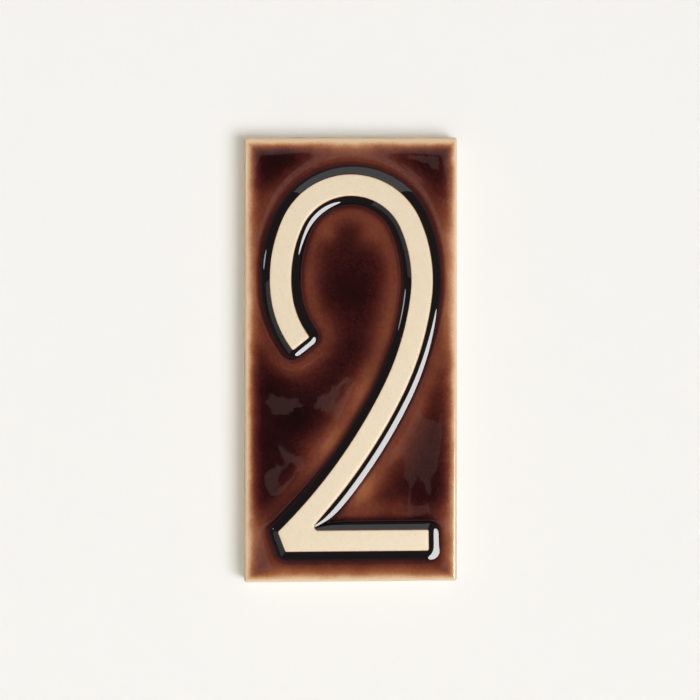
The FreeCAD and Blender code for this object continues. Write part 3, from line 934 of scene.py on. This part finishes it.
# The bare clay of the sides and the back is toasted darker than the clay of the numeral.
toasted = calculate("MULTIPLY_ADD", from_side, -1, 0, clamp=True)
body = blend(toasted, bare, linear(SIDE_CLAY))
colour = blend(covered, body, glaze_ramp.outputs["Color"])
roughness = add_node(
    clay, "ShaderNodeMix", inputs={"Factor": covered, "A": CLAY_ROUGHNESS, "B": GLAZE_ROUGHNESS}
)

# The glaze's surface undulates by a hundredth of a millimetre, and the bare clay is gritty.
broad = calculate("MULTIPLY", cloud(16, 1), BROAD_RIPPLES * MM)
ripples = calculate("MULTIPLY_ADD", cloud(3, 0), FINE_RIPPLES * MM, broad)
waves = calculate("MULTIPLY", ripples, covered)
grit = calculate("MULTIPLY", cloud(0.5, 3), calculate("SUBTRACT", 1, covered))
relief = calculate("ADD", waves, calculate("MULTIPLY", grit, GRIT * MM))
bump = add_node(clay, "ShaderNodeBump", inputs={"Height": relief, "Distance": 1.0, "Strength": 1.0})

clay.links.new(colour, shader.inputs["Base Color"])
clay.links.new(roughness.outputs["Result"], shader.inputs["Roughness"])
clay.links.new(bump.outputs["Normal"], shader.inputs["Normal"])
shader.inputs["IOR"].default_value = GLAZE_IOR
mesh.materials.append(glazed_clay)
print("The finish has %d nodes" % len(clay.nodes))

# %% [markdown]
# ## The wall and the floor
#
# A house number hangs on a wall, so the tile is shown on a pale one, and the wall takes its shadow. A
# window in the wall behind the tile lets light reach its back, and the wall is clear from behind, so
# that the back can be looked at.

# %% Build the wall and the floor
WALL_SIZE = 5.0
WALL_Y = 0.0006
WINDOW_INSET = 0.003
FLOOR_Z = -1.2
WALL_COLOUR = "#F6F4EF"
FLOOR_COLOUR = "#F2F0EB"
FLOOR_GLOW = 0.6


def link(name, datablock):
    """Put a new object in the scene and return it."""
    item = bpy.data.objects.new(name, datablock)
    bpy.context.scene.collection.objects.link(item)
    return item


def build_stage(name, build):
    """Make a stage object from a function that fills a bmesh."""
    shape = bmesh.new()
    build(shape)
    datablock = bpy.data.meshes.new(name)
    shape.to_mesh(datablock)
    shape.free()
    item = link(name, datablock)
    return item


def fill_wall(shape):
    """Make a wall with a window just smaller than the tile."""
    window = bmesh.ops.create_grid(shape, x_segments=1, y_segments=1, size=0.5)["verts"]
    bmesh.ops.rotate(shape, verts=window, matrix=Matrix.Rotation(math.radians(90), 3, "X"))
    size = (2 * HALF_WIDTH * MM - 2 * WINDOW_INSET, 1, 2 * HALF_HEIGHT * MM - 2 * WINDOW_INSET)
    bmesh.ops.scale(shape, verts=window, vec=size)
    inner = list(shape.faces)
    spread = bmesh.ops.extrude_edge_only(shape, edges=list(shape.edges))["geom"]
    outer = [item for item in spread if isinstance(item, bmesh.types.BMVert)]
    bmesh.ops.scale(shape, verts=outer, vec=(WALL_SIZE / size[0], 1, WALL_SIZE / size[2]))
    bmesh.ops.delete(shape, geom=inner, context="FACES_ONLY")
    bmesh.ops.translate(shape, verts=shape.verts, vec=(0, WALL_Y, 0))
    for face in shape.faces:
        face.normal_update()
        if face.normal.y > 0:
            face.normal_flip()


def fill_floor(shape):
    """Make the floor under the tile."""
    made = bmesh.ops.create_grid(shape, x_segments=1, y_segments=1, size=WALL_SIZE / 2)["verts"]
    bmesh.ops.translate(shape, verts=made, vec=(0, 0, FLOOR_Z))


wall = build_stage("pale_wall", fill_wall)
floor = build_stage("pale_floor", fill_floor)
# Some of the key's light and some cards come from below the floor, so it doesn't stand in their way.
floor.visible_shadow = False
floor.visible_glossy = False
print("Wall and floor stand")


# %% Paint the wall and the floor
def matt(tree, colour):
    """Return a matt shader of a hex colour."""
    return add_node(tree, "ShaderNodeBsdfDiffuse", inputs={"Color": linear(colour)}).outputs[0]


def glowing(tree, colour, strength):
    """Return a shader that gives off light of a linear colour."""
    inputs = {"Color": colour, "Strength": strength}
    return add_node(tree, "ShaderNodeEmission", inputs=inputs).outputs[0]


def mix_shaders(tree, share, one, other):
    """Mix two shaders, where a share of 0 gives the first and a share of 1 gives the second."""
    return add_node(tree, "ShaderNodeMixShader", inputs={0: share, 1: one, 2: other}).outputs[0]


def cover(item, material, surface):
    """Give an object a material, with a shader as its surface."""
    tree = material.node_tree
    tree.links.new(surface, tree.nodes["Material Output"].inputs["Surface"])
    item.data.materials.append(material)


def seen_directly(tree):
    """Return 1 for a ray by which something is seen, and 0 for a ray by which it lights others."""
    rays = add_node(tree, "ShaderNodeLightPath").outputs
    seen = rays["Is Camera Ray"]
    for name in ("Is Glossy Ray", "Is Transmission Ray"):
        inputs = {0: seen, 1: rays[name]}
        seen = add_node(tree, "ShaderNodeMath", {"operation": "MAXIMUM"}, inputs).outputs[0]
    return seen


wall_paint = new_material("matt_wall_paint")
paint = wall_paint.node_tree
behind = add_node(paint, "ShaderNodeNewGeometry").outputs["Backfacing"]
clear = add_node(paint, "ShaderNodeBsdfTransparent").outputs[0]
cover(wall, wall_paint, mix_shaders(paint, behind, matt(paint, WALL_COLOUR), clear))

floor_paint = new_material("matt_floor_paint")
paint = floor_paint.node_tree
plain = matt(paint, FLOOR_COLOUR)
glow = glowing(paint, linear(FLOOR_COLOUR), FLOOR_GLOW)
lifted = add_node(paint, "ShaderNodeAddShader", inputs={0: plain, 1: glow}).outputs[0]
cover(floor, floor_paint, mix_shaders(paint, seen_directly(paint), plain, lifted))
print("Wall and floor are painted")

# %% [markdown]
# ## The camera
#
# The tile is seen straight on, from about a metre away.

# %% Place the camera
# The picture's width, the scale on the tile's face, and the pixel where the frame's origin stands.
PHOTO_WIDTH = 700
MM_PER_PIXEL = 0.4789
TILE_PIXEL = (350.6, 359.5)
LENS = 100
SENSOR = 36

camera = link("camera", bpy.data.cameras.new("camera"))
camera.data.lens = LENS
camera.data.sensor_width = SENSOR
view_width = PHOTO_WIDTH * MM_PER_PIXEL * MM
right = (PHOTO_WIDTH / 2 - TILE_PIXEL[0]) * MM_PER_PIXEL * MM
up = (TILE_PIXEL[1] - PHOTO_WIDTH / 2) * MM_PER_PIXEL * MM
camera.location = (right, -SLAB_DEPTH * MM - view_width * LENS / SENSOR, up)
camera.rotation_euler = (math.radians(90), 0, 0)
bpy.context.scene.camera = camera
bpy.context.scene.view_settings.view_transform = "Standard"
print("Camera at", tuple(round(part, 4) for part in camera.location))

# %% [markdown]
# ## The light
#
# A soft key from the lower right throws the shadow. A fill from the front and a pale room lift the
# rest, and one more lamp behind the wall lights the tile's back through the window.

# %% Hang the lamps
# The share of the wall's white that each light gives.
KEY_SHARE = 0.6
FILL_SHARE = 0.295
ROOM_LIGHT = 0.155
# The key is cool and the rest of the light is warm, so the wall is white and the shadow is beige.
KEY_COLOUR = "#E8F0FF"
ROOM_COLOUR = "#FFF6E5"
# The key's tilt from the front, its turn up from the right, and its width, in degrees.
KEY_TILT, KEY_TURN, KEY_SPREAD = 41, -31, 38
FILL_DISTANCE, FILL_SIZE = 2.5, 0.4
BACK_PLACE, BACK_SIZE, BACK_SHARE = Vector((0.5, 1.6, 0.6)), 1.2, 0.6


def towards(tilt, turn):
    """Return a direction from the tile, by its tilt from the front and its turn up from the right."""
    return heading(turn) * math.sin(math.radians(tilt)) - Vector((0, math.cos(math.radians(tilt)), 0))


def hang_lamp(name, kind, where, size, energy, colour=ROOM_COLOUR):
    """Hang a lamp that faces the tile and isn't seen itself, in the picture or in reflections."""
    lamp = link(name, bpy.data.lights.new(name, kind))
    setattr(lamp.data, "angle" if kind == "SUN" else "size", size)
    lamp.data.energy = energy
    lamp.data.color = linear(colour)[:3]
    lamp.location = where
    lamp.rotation_euler = (-where).to_track_quat("-Z", "Y").to_euler()
    lamp.visible_glossy = False
    lamp.visible_camera = False
    return lamp


def square_energy(where, share):
    """Return the power at which a square lamp lights a wall at the tile to a share of white."""
    return share * (math.pi * where.length) ** 2 * where.length / abs(where.y)


# A broad key far away lights the wall evenly, as a sun does, and its spread softens the shadow.
key_from = towards(KEY_TILT, KEY_TURN)
key_energy = math.pi * KEY_SHARE / abs(key_from.y)
hang_lamp("key_lamp", "SUN", key_from, math.radians(KEY_SPREAD), key_energy, KEY_COLOUR)
fill_from = towards(0, 0) * FILL_DISTANCE
hang_lamp("fill_lamp", "AREA", fill_from, FILL_SIZE, square_energy(fill_from, FILL_SHARE))
hang_lamp("back_lamp", "AREA", BACK_PLACE, BACK_SIZE, square_energy(BACK_PLACE, BACK_SHARE))

world = bpy.data.worlds.new("pale_room")
world.use_nodes = True
bpy.context.scene.world = world
room = world.node_tree
strength = add_node(room, "ShaderNodeMix", inputs={"Factor": seen_directly(room), "A": ROOM_LIGHT, "B": 1.0})
sky = room.nodes["Background"]
sky.inputs["Color"].default_value = linear(ROOM_COLOUR)
room.links.new(strength.outputs["Result"], sky.inputs["Strength"])
print("Lamps hang")

# %% [markdown]
# ## What the gloss shows
#
# A glossy, nearly black surface shows the studio itself, so the studio has pieces of its own here,
# which only reflections see. A dark tent closes it off, and a dim grey room stands in front of that.
# The key card gives the bright streaks along the numeral, and dimmer cards grey its upper and left
# walls. Five veils, dim and ragged, are the uneven reflections that lie on the flat glaze.

# %% Set up what the gloss sees
CARD_RADIUS = 3.0
CARD_STEPS = (60, 10)
VEIL_COLOUR = "#FFD4C4"
VEIL_STEPS = 48
# The waves in a veil's outline: how many go round it, and how high each is.
VEIL_WAVES = ((3, 0.2), (9, 0.12))
ROOM_RADIUS = 3.6
TENT_RADIUS = 4.0


def hang_shape(name, radiance, fill, colour=(1, 1, 1, 1)):
    """Hang a glowing shape that only reflections see, made by a function that fills a bmesh."""
    shape = build_stage(name, fill)
    glow = new_material(name + "_glow")
    cover(shape, glow, glowing(glow.node_tree, colour, radiance))
    for ray in ("camera", "diffuse", "transmission", "volume_scatter", "shadow"):
        setattr(shape, "visible_" + ray, False)


def hang_card(name, tilts, turns, radiance, radius=CARD_RADIUS, oval=False, other_tilts=None):
    """Hang a curved card between two tilts and two turns. Its tilts may differ at its other end."""
    def fill(shape):
        bmesh.ops.create_grid(shape, x_segments=CARD_STEPS[0], y_segments=CARD_STEPS[1], size=1)
        for point in shape.verts:
            share = (1 + point.co.x) / 2
            low, high = (one + (other - one) * share for one, other in zip(tilts, other_tilts or tilts))
            narrow = math.sqrt(max(0, 1 - point.co.x**2)) if oval else 1
            tilt = (low + high) / 2 + (high - low) / 2 * point.co.y * narrow
            point.co = towards(tilt, turns[0] + (turns[1] - turns[0]) * share) * radius
        bmesh.ops.remove_doubles(shape, verts=shape.verts, dist=1e-5)
    hang_shape(name, radiance, fill)


def looks_at(x, z):
    """Return the place on the card sphere that the gloss shows at a place on the tile, in mm."""
    step = 0.05
    slopes = [
        (glaze_height(Vector((x + a, 0, z + b))) - glaze_height(Vector((x - a, 0, z - b)))) / (2 * step)
        for a, b in ((step, 0), (0, step))
    ]
    facing = Vector((-slopes[0], -1, -slopes[1])).normalized()
    spot = Vector((x, -SLAB_DEPTH, z)) * MM
    ray = (spot - camera.location).normalized().reflect(facing)
    return spot + ray * CARD_RADIUS


def hang_veil(name, middle, sizes, turn, radiance, phase):
    """Hang a dim ragged patch so that the gloss shows it at a place on the tile."""
    def fill(shape):
        bmesh.ops.create_circle(shape, cap_ends=True, segments=VEIL_STEPS, radius=1)
        spin = math.radians(turn)
        for point in shape.verts:
            angle = math.atan2(point.co.y, point.co.x) + phase / 3
            reach = 1 + sum(high * math.sin(count * angle) for count, high in VEIL_WAVES)
            along, across = point.co.x * reach * sizes[0], point.co.y * reach * sizes[1]
            x = middle[0] + along * math.cos(spin) - across * math.sin(spin)
            z = middle[1] + along * math.sin(spin) + across * math.cos(spin)
            point.co = looks_at(x, z)
    hang_shape(name, radiance, fill, linear(VEIL_COLOUR))


# Each card: its tilts from the front, its turns up from the right, and its glow.
hang_card("dark_tent", (0, 90), (0, 360), 0.0, TENT_RADIUS)
hang_card("grey_room", (16, 90), (0, 360), 0.17, ROOM_RADIUS)
hang_card("key_card", (15.2, 37), (-76, -4), 17.0, oval=True)
hang_card("upper_card", (20, 80), (51, 130), 1.3, other_tilts=(34, 80))
hang_card("left_card", (46, 84), (178, 242), 0.75, other_tilts=(32, 84))
hang_card("slit_card", (29, 36), (163, 171), 8.0, oval=True)
hang_card("near_ring", (8.5, 10.5), (0, 360), 0.45)
# The veils: where each lies on the tile, its half length and width in mm, its turn, and its glow.
VEILS = {
    "veil_left": ((-33, -22), (9, 4.6), -8, 0.5),
    "veil_middle": ((-8.5, -18), (10.5, 4.2), 42, 0.6),
    "veil_low": ((-32.5, -56), (11, 5.5), 35, 0.55),
    "veil_right": ((37.5, -50), (23, 7.5), 64, 0.42),
    "veil_corner": ((38, 97), (9, 3.2), -25, 0.6),
}
for phase, (name, veil) in enumerate(VEILS.items()):
    hang_veil(name, *veil, phase)
print("Cards and veils hang")
